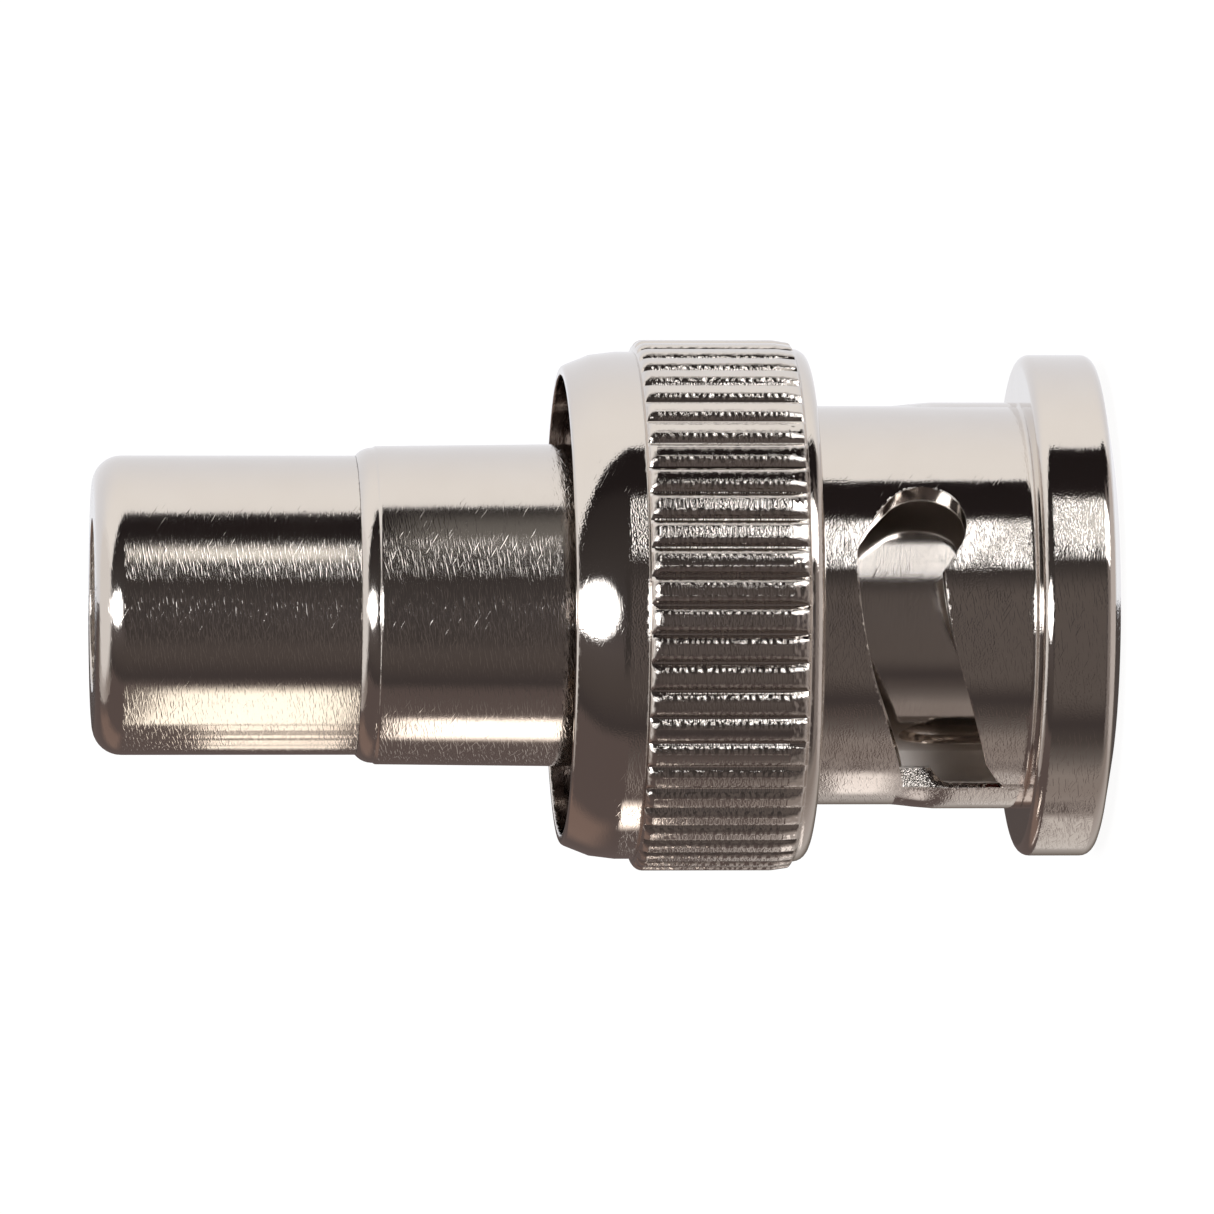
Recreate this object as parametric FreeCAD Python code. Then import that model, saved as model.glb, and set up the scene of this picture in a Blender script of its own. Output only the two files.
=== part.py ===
import FreeCAD, Part
import math
import os
from FreeCAD import Base, Vector

# Bayonet plug to phono jack adapter, in millimetres.
# It stands on the front flange of its coupling nut: Z is the common axis, z = 0 is the
# foremost ring of the flange and the phono jack points up.

# Rounded edges are laid out as short straight cuts, this far off the arc at most.
round_sag = 0.045

# Coupling nut, outside
nut_length = 15.07
flange_radius = 6.97
flange_rear = 2.32
flange_cone_rise = 0.33
flange_ring_radius = 5.28
flange_front_round = 0.32
flange_rear_round = 0.22
sleeve_radius = 5.54
knurl_front = 8.25
knurl_rear = 13.09
knurl_radius = 7.375
knurl_shoulder_radius = 7.13
knurl_shoulder_top = 8.66
knurl_shoulder_round = 0.38
tooth_count = 57
tooth_lead_in = 0.15
tooth_run_out = 0.24
groove_depth = 0.18
groove_angle_deg = 90.0
skirt_radius = 7.045
skirt_roll_start = 13.57
skirt_roll_radius = 2.88
skirt_roll_deg = 28.75
skirt_mouth_radius = 6.38
skirt_rim_bevel = 0.10

# Coupling nut, inside
bore_radius = 4.90
cavity_floor = 11.05
cavity_radius = 6.30
ring_seat = 13.48
ring_seat_radius = 6.62
ring_seat_bevel = 0.22

# Bayonet track: the mating stud's way, milled through the sleeve.
# Angles are measured round the axis from -Y towards +X.
cutter_radius = 1.23
entry_deg = -78.0
window_start_deg = -65.0
window_foot = 2.92
window_foot_run = 1.20
track_points = [(-80.0, 4.42), (-67.0, 4.48), (-52.0, 4.69), (-34.0, 5.13),
                (-19.0, 5.54), (-2.0, 5.89), (14.0, 6.03)]
detent_deg = 24.1
detent_height = 5.30
keyway_radius = 5.55
keyway_half_width = 1.22
keyway_end = 4.45
swell_radius = 3.60
swell_reach = 5.68
swell_end = 5.90

# Adapter body
collar_radius = 6.20
collar_front = 11.07
collar_rear = 12.05
pilot_front = 10.20
pilot_radius = 4.78
barrel_radius = 4.45
mouth_height = 20.784
mouth_roll_radius = 0.60
mouth_roll_foot_deg = 59.0
mouth_roll_edge_deg = 15.5
body_bore_radius = 3.00
spigot_radius = 3.60
spigot_end = 17.60

# Phono jack shell
total_length = 28.06
shell_radius = 4.15
shell_face_fillet = 0.80
face_hole_radius = 2.37
face_lip = 1.15

# Contacts and insulators
contact_radius = 4.05
contact_bore = 3.50
contact_front = 1.85
contact_root_radius = 3.85
contact_mouth_bevel = 0.16
contact_root = 9.20
contact_rear = 12.60
contact_slit_width = 0.36
contact_slit_end = 9.00
contact_slit_deg = -48.0
pin_radius = 0.675
pin_tip = 2.10
pin_tip_radius = 0.30
pin_tip_length = 0.55
pin_shank_radius = 0.95
pin_shank_rear = 15.20
pin_tail_radius = 0.50
pin_tail_end = 17.20
well_radius = 2.45
well_floor = 7.20
well_front = 2.60
well_wall_radius = 3.35
socket_radius = 1.95
socket_bore = 1.60
socket_floor = 20.30
socket_rear = 19.30
socket_mouth = 26.50
socket_mouth_bevel = 0.12
socket_slit_width = 0.35
socket_slit_end = 22.40
nose_front = 27.60
nose_hole_radius = 1.80
nose_clearance = 0.02

# Washers, spring and gasket
washer_bore = 4.70
washer_radius = 6.15
washer_front = 13.16
washer_rear = 13.46
ring_bore = 4.78
ring_radius = 6.60
ring_rear = 14.03
wave_count = 3
wave_stock = 0.20
wave_clearance = 0.01
gasket_bore = 4.02
gasket_radius = 4.76
gasket_front = 9.45


def rounded(start, end, centre, radius, turn):
    """Points along a rounded corner, on the arc and at most round_sag off it between them."""
    step = 2 * math.acos(1 - round_sag / radius)
    count = max(1, round(turn / step))
    points = []
    for i in range(count + 1):
        share = i / count
        first = (start - centre) * (math.sin((1 - share) * turn) / math.sin(turn))
        second = (end - centre) * (math.sin(share * turn) / math.sin(turn))
        points.append(centre + first + second)
    return points


def outline(corners):
    """Closed wire in the XZ half-plane. A corner is (r, z) or (r, z, fillet radius)."""
    points = [Vector(corner[0], 0, corner[1]) for corner in corners]
    path = []
    for i, here in enumerate(points):
        if len(corners[i]) == 2:
            path.append(here)
            continue
        radius = corners[i][2]
        back = (points[i - 1] - here).normalize()
        ahead = (points[(i + 1) % len(points)] - here).normalize()
        half = back.getAngle(ahead) / 2
        run = radius / math.tan(half)
        centre = here + (back + ahead).normalize() * (radius / math.sin(half))
        path += rounded(here + back * run, here + ahead * run, centre, radius, math.pi - 2 * half)
    return Part.makePolygon(path + path[:1])


def turned(corners):
    """Solid of revolution about Z, as a lathe would cut it."""
    face = Part.Face(outline(corners))
    return face.revolve(Vector(0, 0, 0), Vector(0, 0, 1), 360)


def closed_solid(faces):
    """Solid inside a closed set of faces, its outside turned outwards."""
    shell = Part.makeShell(faces)
    shell.sewShape()
    solid = Part.Solid(shell)
    if solid.Volume < 0:
        solid.reverse()
    return solid


def turn_about_axis(shape, degrees):
    """Copy of a shape turned round Z. Zero is towards -Y, positive is towards +X."""
    copy = shape.copy()
    copy.rotate(Vector(0, 0, 0), Vector(0, 0, 1), degrees - 90.0)
    return copy


def nut_blank():
    """Outside of the nut before its bore and knurl: flange, sleeve and rolled skirt."""
    roll = math.radians(skirt_roll_deg)
    roll_run = skirt_roll_radius * math.tan(roll / 2)
    roll_corner = skirt_roll_start + roll_run
    rim_fall = (nut_length - roll_corner) * math.tan(roll)
    under_teeth = (knurl_shoulder_top + knurl_rear) / 2
    return turned([
        (0, 0),
        (flange_ring_radius, 0),
        (flange_radius, flange_cone_rise, flange_front_round),
        (flange_radius, flange_rear, flange_rear_round),
        (sleeve_radius, flange_rear),
        (sleeve_radius, knurl_front),
        (knurl_shoulder_radius, knurl_front, knurl_shoulder_round),
        (knurl_shoulder_radius, under_teeth),
        (skirt_radius, under_teeth),
        (skirt_radius, roll_corner, skirt_roll_radius),
        (skirt_radius - rim_fall + skirt_rim_bevel / 2, nut_length - skirt_rim_bevel),
        (skirt_radius - rim_fall - skirt_rim_bevel, nut_length),
        (0, nut_length),
    ])


def nut_bore():
    """Everything inside the nut: bore, washer cavity, ring seat and mouth."""
    below = -1.0
    above = nut_length + 1.0
    return turned([
        (0, below),
        (bore_radius, below),
        (bore_radius, cavity_floor),
        (cavity_radius, cavity_floor),
        (cavity_radius, ring_seat),
        (ring_seat_radius, ring_seat),
        (ring_seat_radius, ring_rear),
        (skirt_mouth_radius, ring_rear + ring_seat_bevel),
        (skirt_mouth_radius, above),
        (0, above),
    ])


def keyway_swell():
    """The thin wall over an entry keyway, pushed out by the broach: an eccentric lobe."""
    lobe = turned([
        (0, flange_rear - 0.2),
        (swell_radius - 0.06, flange_rear - 0.2),
        (swell_radius, swell_end - 1.0, 0.5),
        (swell_radius - 0.25, swell_end),
        (0, swell_end),
    ])
    lobe.translate(Vector(swell_reach - swell_radius, 0, 0))
    return turn_about_axis(lobe, entry_deg - 2.0)


def knurl_band():
    """Straight knurl as flat faces: V grooves, flat crests and sloping tooth ends."""
    root = knurl_radius - groove_depth
    half = groove_depth * math.tan(math.radians(groove_angle_deg / 2)) / knurl_radius
    pitch = math.tau / tooth_count

    def polar(radius, angle, height):
        return Vector(radius * math.cos(angle), radius * math.sin(angle), height)

    def root_line(groove):
        return [polar(root, groove, knurl_shoulder_top), polar(root, groove, knurl_rear)]

    def crest_line(angle):
        return [polar(knurl_radius, angle, knurl_shoulder_top + tooth_lead_in),
                polar(knurl_radius, angle, knurl_rear - tooth_run_out)]

    faces = []
    for i in range(tooth_count):
        before = root_line(i * pitch)
        after = root_line((i + 1) * pitch)
        left = crest_line(i * pitch + half)
        right = crest_line((i + 1) * pitch - half)
        faces += [
            Part.Face(Part.makePolygon([before[0], left[0], left[1], before[1], before[0]])),
            Part.Face(Part.makePolygon([left[0], right[0], right[1], left[1], left[0]])),
            Part.Face(Part.makePolygon([right[0], after[0], after[1], right[1], right[0]])),
            Part.Face(Part.makePolygon([before[0], after[0], right[0], left[0], before[0]])),
            Part.Face(Part.makePolygon([before[1], left[1], right[1], after[1], before[1]])),
        ]
    for end in (0, 1):
        ring = [root_line(i * pitch)[end] for i in range(tooth_count)]
        faces.append(Part.Face(Part.makePolygon(ring + ring[:1])))
    return turn_about_axis(closed_solid(faces), 0.0)


def offset_point(point, tangent, distance):
    """A point moved sideways from a flat curve, to the left of its tangent."""
    length = math.hypot(tangent[0], tangent[1])
    return (point[0] - tangent[1] / length * distance, point[1] + tangent[0] / length * distance)


def track_centre_line():
    """Cutter centre line along the helical run, unrolled: x is arc length, y is height."""
    per_degree = sleeve_radius * math.pi / 180
    line = Part.Geom2d.BSplineCurve2d()
    line.interpolate([Base.Vector2d(deg * per_degree, z) for deg, z in track_points])
    return line


def track_side(line, side, last):
    """One edge of the helical run as unrolled points, from the window's start to last."""
    first = line.FirstParameter
    points = []
    for i in range(25):
        at = first + (last - first) * i / 24
        here = line.value(at)
        ahead = line.tangent(at)
        points.append(offset_point((here.x, here.y), (ahead.x, ahead.y), side * cutter_radius))
    window = window_start_deg * sleeve_radius * math.pi / 180
    inside = [point for point in points if point[0] > window + 0.05]
    before = [point for point in points if point[0] <= window + 0.05][-1]
    share = (window - before[0]) / (inside[0][0] - before[0])
    start = (window, before[1] + share * (inside[0][1] - before[1]))
    return [start] + inside


def arc_points(centre, start_deg, end_deg, count):
    """Points on a cutter-sized arc in the unrolled plane."""
    points = []
    for i in range(count):
        angle = math.radians(start_deg + (end_deg - start_deg) * i / (count - 1))
        points.append((centre[0] + cutter_radius * math.cos(angle),
                       centre[1] + cutter_radius * math.sin(angle)))
    return points


def track_loop():
    """The window's unrolled outline as a list of runs, each a list of points."""
    line = track_centre_line()
    last = line.LastParameter
    turn = line.value(last)
    ahead = line.tangent(last)
    detent = (detent_deg * sleeve_radius * math.pi / 180, detent_height)
    drop = (detent[0] - turn.x, detent[1] - turn.y)
    flat_deg = math.degrees(math.atan2(ahead.y, ahead.x)) + 90.0
    drop_deg = math.degrees(math.atan2(drop[1], drop[0])) + 90.0
    rear = track_side(line, 1.0, last)
    corner = arc_points((turn.x, turn.y), flat_deg, drop_deg, 5)
    end = arc_points(detent, drop_deg, drop_deg - 180.0, 13)
    inner = [offset_point((turn.x, turn.y), drop, -cutter_radius), end[-1]]
    slope = (inner[1][1] - inner[0][1]) / (inner[1][0] - inner[0][0])
    low = line.FirstParameter
    high = last
    for _ in range(40):
        middle = (low + high) / 2
        here = line.value(middle)
        along = line.tangent(middle)
        point = offset_point((here.x, here.y), (along.x, along.y), -cutter_radius)
        if point[1] < inner[0][1] + slope * (point[0] - inner[0][0]):
            low = middle
        else:
            high = middle
    front = track_side(line, -1.0, low)
    foot = (front[0][0], window_foot)
    front = [point for point in front if point[0] > foot[0] + window_foot_run]
    cusp = front[-1]
    return [rear, corner, [corner[-1], end[0]], end, [end[-1], cusp], front[::-1],
            [front[0], foot], [foot, rear[0]]]


def wrapped_loop(loop, radius):
    """The unrolled loop laid round a cylinder: its edges, and the patch that they bound."""
    surface = Part.Cylinder()
    surface.Radius = radius
    edges = []
    for run in loop:
        flat = [Base.Vector2d(x / sleeve_radius, z) for x, z in run]
        if len(flat) == 2:
            curve = Part.Geom2d.Line2dSegment(flat[0], flat[1])
        else:
            curve = Part.Geom2d.BSplineCurve2d()
            curve.interpolate(flat)
        edges.append(curve.toShape(surface))
    return edges, Part.Face(surface, Part.Wire(edges))


def track_cutter():
    """Solid that mills one bayonet window: radial walls between two cylinders."""
    loop = track_loop()
    inner, inner_patch = wrapped_loop(loop, bore_radius - 0.35)
    outer, outer_patch = wrapped_loop(loop, swell_reach + 0.5)
    walls = [Part.makeRuledSurface(low, high) for low, high in zip(inner, outer)]
    return closed_solid(walls + [inner_patch, outer_patch])


def keyway_cutter():
    """Entry groove of one stud, from the flange's front up to the helical run."""
    reach = keyway_radius + 1.0
    width = 2 * keyway_half_width
    slab = Part.makeBox(reach, width, keyway_end + 1.0, Vector(0, -keyway_half_width, -1.0))
    end = Part.makeCylinder(keyway_half_width, reach, Vector(0, 0, keyway_end), Vector(1, 0, 0))
    limit = Part.makeCylinder(keyway_radius, nut_length, Vector(0, 0, -2.0))
    return turn_about_axis(slab.fuse(end).common(limit), entry_deg)


def coupling_nut():
    """The bayonet nut: turned, knurled, then slotted twice, half a turn apart."""
    nut = nut_blank().fuse(knurl_band())
    swell = keyway_swell()
    track = track_cutter()
    keyway = keyway_cutter()
    for half_turn in (0.0, 180.0):
        nut = nut.fuse(turn_about_axis(swell, 90.0 + half_turn))
    nut = nut.cut(nut_bore())
    for half_turn in (0.0, 180.0):
        nut = nut.cut(turn_about_axis(keyway, 90.0 + half_turn))
        nut = nut.cut(turn_about_axis(track, 90.0 + half_turn))
    return nut


def adapter_body():
    """Turned body: pilot, thrust collar and the rear barrel with its rolled mouth."""
    foot = math.radians(mouth_roll_foot_deg)
    edge = math.radians(mouth_roll_edge_deg)
    roll_r = shell_radius - mouth_roll_radius * math.cos(foot)
    roll_z = mouth_height - mouth_roll_radius * math.sin(foot)
    run = mouth_roll_radius * math.tan((foot - edge) / 2)
    edge_r = roll_r + mouth_roll_radius * math.cos(edge)
    edge_z = roll_z + mouth_roll_radius * math.sin(edge)
    corner_r = edge_r - run * math.sin(edge)
    corner_z = edge_z + run * math.cos(edge)
    return turned([
        (contact_root_radius, pilot_front),
        (pilot_radius, pilot_front),
        (pilot_radius, collar_front),
        (collar_radius, collar_front),
        (collar_radius, collar_rear),
        (barrel_radius, collar_rear),
        (barrel_radius, edge_z - mouth_roll_radius / 3),
        (edge_r, edge_z),
        (corner_r, corner_z, mouth_roll_radius),
        (shell_radius, mouth_height),
        (spigot_radius, mouth_height),
        (spigot_radius, spigot_end),
        (body_bore_radius, spigot_end),
        (body_bore_radius, contact_rear),
        (contact_root_radius, contact_rear),
    ])


def rca_shell():
    """Outer barrel of the phono jack: straight tube, rounded face, inward lip, spigot."""
    return turned([
        (spigot_radius, spigot_end),
        (spigot_radius, mouth_height),
        (shell_radius, mouth_height),
        (shell_radius, total_length, shell_face_fillet),
        (face_hole_radius, total_length),
        (face_hole_radius, total_length - face_lip),
        (body_bore_radius, total_length - face_lip),
        (body_bore_radius, spigot_end),
    ])


def slitted(tube, width, low, high, count, first_deg):
    """Cut a tube into spring fingers with saw cuts through its wall."""
    reach = 20.0
    for i in range(count):
        cut = Part.makeBox(reach, width, high - low, Vector(0, -width / 2, low))
        tube = tube.cut(turn_about_axis(cut, first_deg + i * 360.0 / count))
    return tube


def outer_contact():
    """Spring sleeve of the plug, four fingers, pressed into the body."""
    tube = turned([
        (contact_bore, contact_front),
        (contact_radius - contact_mouth_bevel, contact_front),
        (contact_radius, contact_front + contact_mouth_bevel),
        (contact_radius, contact_root),
        (contact_root_radius, contact_root),
        (contact_root_radius, contact_rear),
        (contact_bore, contact_rear),
    ])
    return slitted(tube, contact_slit_width, contact_front - 1.0, contact_slit_end, 4,
                   contact_slit_deg)


def bnc_insulator():
    """White bush of the plug: a deep well round the pin, then a solid foot."""
    foot = contact_rear
    return turned([
        (pin_shank_radius, well_floor),
        (pin_shank_radius, pin_shank_rear),
        (body_bore_radius, pin_shank_rear),
        (body_bore_radius, foot),
        (contact_bore, foot),
        (contact_bore, well_floor + 0.3),
        (well_wall_radius, well_floor + 0.3),
        (well_wall_radius, well_front),
        (well_radius, well_front),
        (well_radius, well_floor),
    ])


def centre_pin():
    """Male pin: rounded tip, thicker shank through the bush, thin tail."""
    return turned([
        (0, pin_tip),
        (pin_tip_radius, pin_tip),
        (pin_radius, pin_tip + pin_tip_length),
        (pin_radius, well_floor),
        (pin_shank_radius, well_floor),
        (pin_shank_radius, pin_shank_rear),
        (pin_tail_radius, pin_shank_rear),
        (pin_tail_radius, pin_tail_end),
        (0, pin_tail_end),
    ])


def socket_contact():
    """Phono centre contact: stem bored for the pin's tail, cup with four spring fingers."""
    cup = turned([
        (pin_tail_radius, pin_shank_rear),
        (pin_shank_radius, pin_shank_rear),
        (pin_shank_radius, socket_rear),
        (socket_radius, socket_rear),
        (socket_radius, socket_mouth),
        (socket_bore + socket_mouth_bevel, socket_mouth),
        (socket_bore, socket_mouth - socket_mouth_bevel),
        (socket_bore, socket_floor),
        (0, socket_floor),
        (0, pin_tail_end),
        (pin_tail_radius, pin_tail_end),
    ])
    return slitted(cup, socket_slit_width, socket_slit_end, socket_mouth + 1.0, 4, 20.0)


def rca_insulator():
    """White bush of the phono jack: holds the cup, its nose fills the face hole."""
    lip = total_length - face_lip
    return turned([
        (socket_radius, socket_rear),
        (body_bore_radius, socket_rear),
        (body_bore_radius, lip),
        (face_hole_radius - nose_clearance, lip),
        (face_hole_radius - nose_clearance, nose_front),
        (nose_hole_radius, nose_front),
        (nose_hole_radius, socket_mouth),
        (socket_radius, socket_mouth),
    ])


def flat_ring(bore, radius, low, high):
    return turned([(bore, low), (radius, low), (radius, high), (bore, high)])


def wave_washer():
    """Three-wave spring: inner and outer edges are closed splines that rise and fall."""
    low = collar_rear + wave_clearance
    travel = washer_front - wave_clearance - wave_stock - low
    rings = []
    for radius in (washer_bore + 0.05, washer_radius - 0.15):
        for lift in (0.0, wave_stock):
            points = []
            for i in range(wave_count * 8):
                angle = math.tau * i / (wave_count * 8)
                height = low + travel * (1 - math.cos(wave_count * angle)) / 2 + lift
                points.append(Vector(radius * math.cos(angle), radius * math.sin(angle), height))
            curve = Part.BSplineCurve()
            curve.interpolate(points, PeriodicFlag=True)
            rings.append(curve.toShape())
    inner_low, inner_high, outer_low, outer_high = rings
    faces = [
        Part.makeRuledSurface(inner_low, outer_low),
        Part.makeRuledSurface(inner_high, outer_high),
        Part.makeRuledSurface(inner_low, inner_high),
        Part.makeRuledSurface(outer_low, outer_high),
    ]
    return closed_solid(faces)


def save(shape, node):
    solids = shape.Solids
    if len(solids) != 1 or not solids[0].isValid():
        raise ValueError("%s is not one valid solid (%d)" % (node, len(solids)))
    solids[0].exportStep("parts/%s.step" % node)
    print("%-18s %9.3f mm3, %4d faces" % (node, solids[0].Volume, len(solids[0].Faces)))


os.makedirs("parts", exist_ok=True)
save(coupling_nut(), "coupling_nut")
save(adapter_body(), "adapter_body")
save(rca_shell(), "rca_shell")
save(outer_contact(), "outer_contact")
save(bnc_insulator(), "bnc_insulator")
save(centre_pin(), "centre_pin")
save(socket_contact(), "socket_contact")
save(rca_insulator(), "rca_insulator")
save(flat_ring(gasket_bore, gasket_radius, gasket_front, pilot_front), "gasket")
save(wave_washer(), "wave_washer")
save(flat_ring(washer_bore, washer_radius, washer_front, washer_rear), "thrust_washer")
save(flat_ring(ring_bore, ring_radius, ring_seat, ring_rear), "retaining_ring")
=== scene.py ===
import math

import bmesh
import bpy
import numpy as np
from mathutils import Matrix


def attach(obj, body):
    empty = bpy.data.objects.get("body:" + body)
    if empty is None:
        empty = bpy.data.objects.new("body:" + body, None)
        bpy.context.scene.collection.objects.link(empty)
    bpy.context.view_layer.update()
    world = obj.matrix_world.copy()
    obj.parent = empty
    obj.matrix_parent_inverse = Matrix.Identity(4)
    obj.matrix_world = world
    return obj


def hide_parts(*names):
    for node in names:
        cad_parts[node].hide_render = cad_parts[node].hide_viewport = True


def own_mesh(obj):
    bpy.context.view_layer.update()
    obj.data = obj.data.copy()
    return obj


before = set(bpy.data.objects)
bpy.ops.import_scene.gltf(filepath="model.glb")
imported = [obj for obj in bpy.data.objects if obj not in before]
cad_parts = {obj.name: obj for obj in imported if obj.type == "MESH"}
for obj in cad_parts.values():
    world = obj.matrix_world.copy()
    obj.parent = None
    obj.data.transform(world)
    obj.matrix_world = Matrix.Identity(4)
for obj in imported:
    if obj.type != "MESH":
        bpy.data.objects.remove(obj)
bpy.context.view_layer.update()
mm = 0.001


# Colours are written as sRGB hex and turned linear here.
def linearColour(hexCode):
    parts = [int(hexCode[i:i + 2], 16) / 255 for i in (1, 3, 5)]
    return [c / 12.92 if c <= 0.04045 else ((c + 0.055) / 1.055) ** 2.4 for c in parts] + [1.0]


# One node with its settings; links maps an input's name or number to another node's output.
def addNode(tree, kind, settings=None, values=None, links=None):
    node = tree.nodes.new(kind)
    for key, value in (settings or {}).items():
        setattr(node, key, value)
    for key, value in (values or {}).items():
        node.inputs[key].default_value = value
    for key, source in (links or {}).items():
        tree.links.new(source, node.inputs[key])
    return node


def maths(tree, operation, first, second=None):
    node = addNode(tree, "ShaderNodeMath", {"operation": operation})
    for slot, value in enumerate((first, second)):
        if value is None:
            continue
        if isinstance(value, (int, float)):
            node.inputs[slot].default_value = value
        else:
            tree.links.new(value, node.inputs[slot])
    return node.outputs[0]


def multiplied(tree, first, second):
    return maths(tree, "MULTIPLY", first, second)


# Smooth rise from 0 to 1 as a value passes from low to high (high may be the smaller one).
def softStep(tree, value, low, high):
    node = addNode(tree, "ShaderNodeMapRange", {"interpolation_type": "SMOOTHSTEP"},
                   {"From Min": low, "From Max": high}, {"Value": value})
    return node.outputs[0]


# An outline in millimetres: corners are (radius, height) or (radius, height, rounding).
# A rounding is a circle's arc between its two tangent points; a straight run is split so
# that no piece is longer than longestRun. Gives the points and, for each run, the unit
# normals at its two ends, so that shading follows the true arc and not the chords.
def outlineOf(corners, arcStep, longestRun):
    xy = np.array([c[:2] for c in corners], float)
    rounds = [c[2] if len(c) > 2 else 0.0 for c in corners]
    count = len(xy)
    points, arcNormals = [], []
    for i in range(count):
        here = xy[i]
        back = xy[i - 1] - here
        ahead = xy[(i + 1) % count] - here
        back /= np.linalg.norm(back)
        ahead /= np.linalg.norm(ahead)
        if not rounds[i]:
            points.append([here])
            arcNormals.append(None)
            continue
        half = math.acos(max(-1.0, min(1.0, float(back @ ahead)))) / 2
        run = rounds[i] / math.tan(half)
        middle = back + ahead
        centre = here + middle / np.linalg.norm(middle) * rounds[i] / math.sin(half)
        first = here + back * run - centre
        last = here + ahead * run - centre
        turn = math.pi - 2 * half
        steps = max(2, math.ceil(math.degrees(turn) / arcStep))
        share = np.linspace(0, 1, steps + 1)[:, None]
        spokes = (np.sin((1 - share) * turn) * first + np.sin(share * turn) * last) / math.sin(turn)
        points.append(list(centre + spokes))
        convex = (ahead[0] * back[1] - ahead[1] * back[0]) > 0
        arcNormals.append(spokes / rounds[i] * (1 if convex else -1))
    path, startNormals, endNormals = [], [], []
    for i in range(count):
        here = points[i]
        for k in range(len(here) - 1):
            path.append(here[k])
            startNormals.append(arcNormals[i][k])
            endNormals.append(arcNormals[i][k + 1])
        target = points[(i + 1) % count][0]
        step = target - here[-1]
        length = np.linalg.norm(step)
        if length < 1e-6:
            continue
        pieces = max(1, math.ceil(length / longestRun))
        normal = np.array([step[1], -step[0]]) / length
        for k in range(pieces):
            path.append(here[-1] + step * k / pieces)
            startNormals.append(normal)
            endNormals.append(normal)
    return np.array(path), np.array(startNormals), np.array(endNormals)


# Angles run round the axis from the camera's side (-Y) towards +X.
def aroundAxis(radius, angle, height):
    return np.stack([radius * np.sin(angle), -radius * np.cos(angle), height + 0 * angle], -1)


# A mesh object from arrays: points in millimetres, faces of four and faces of three.
def meshObject(name, points, quads, tris=None):
    tris = np.zeros((0, 3), int) if tris is None else tris
    corners = np.concatenate([quads.ravel(), tris.ravel()]).astype(np.int32)
    starts = np.concatenate([np.arange(len(quads)) * 4, len(quads) * 4 + np.arange(len(tris)) * 3])
    mesh = bpy.data.meshes.new(name)
    mesh.vertices.add(len(points))
    mesh.vertices.foreach_set("co", (points * mm).astype(np.float32).ravel())
    mesh.loops.add(len(corners))
    mesh.loops.foreach_set("vertex_index", corners)
    mesh.polygons.add(len(starts))
    mesh.polygons.foreach_set("loop_start", starts.astype(np.int32))
    mesh.update(calc_edges=True)
    mesh.validate()
    piece = bpy.data.objects.new(name, mesh)
    bpy.context.scene.collection.objects.link(piece)
    return piece


# A turned piece: the outline is carried round the axis. The point of outline row i and
# column j is (r_i sin a_j, -r_i cos a_j, z_i); reshape may change a row's radius by angle.
def turnedPiece(name, path, columns=256, angles=None, reshape=None):
    angles = np.arange(columns) * 2 * math.pi / columns if angles is None else angles
    columns = len(angles)
    rows = len(path)
    radius = np.repeat(path[:, :1], columns, 1)
    height = np.repeat(path[:, 1:], columns, 1)
    if reshape is not None:
        radius = reshape(radius, angles[None, :], height)
    grid = aroundAxis(radius, np.repeat(angles[None, :], rows, 0), height)
    onAxis = path[:, 0] < 1e-6
    index = np.arange(rows * columns).reshape(rows, columns)
    index[onAxis] = index[onAxis][:, :1]
    i = np.arange(rows)
    a = index
    b = index[(i + 1) % rows]
    c = np.roll(b, -1, 1)
    d = np.roll(a, -1, 1)
    lowPole = onAxis
    highPole = np.roll(onAxis, -1)
    whole = ~lowPole & ~highPole
    quads = np.stack([a, d, c, b], -1)[whole].reshape(-1, 4)
    tris = np.concatenate([np.stack([a, c, b], -1)[lowPole & ~highPole].reshape(-1, 3),
                           np.stack([a, d, b], -1)[highPole & ~lowPole].reshape(-1, 3)])
    used, remap = np.unique(np.concatenate([quads.ravel(), tris.ravel()]), return_inverse=True)
    points = grid.reshape(-1, 3)[used]
    quads, tris = remap[:quads.size].reshape(-1, 4), remap[quads.size:].reshape(-1, 3)
    return meshObject(name, points, quads, tris)


# Cuts pieces out of another with the exact Boolean, then drops the cutters.
def cutOut(piece, cutters):
    for cutter in cutters:
        modifier = piece.modifiers.new("cut", "BOOLEAN")
        modifier.operation = "DIFFERENCE"
        modifier.solver = "EXACT"
        modifier.object = cutter
    graph = bpy.context.evaluated_depsgraph_get()
    result = bpy.data.meshes.new_from_object(piece.evaluated_get(graph))
    piece.modifiers.clear()
    piece.data = result
    for cutter in cutters:
        bpy.data.objects.remove(cutter)


# Shading of a turned piece: a face whose middle lies within faceReach mm of the turned outline
# and faces its way (cosine over faceAgrees) takes the outline's own normal at each corner that
# is within cornerReach mm of it. Any other face is smooth up to the given angle.
shadingLook = {"smoothDeg": 28.0, "faceReach": 0.03, "cornerReach": 0.002, "faceAgrees": 0.96}


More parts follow.
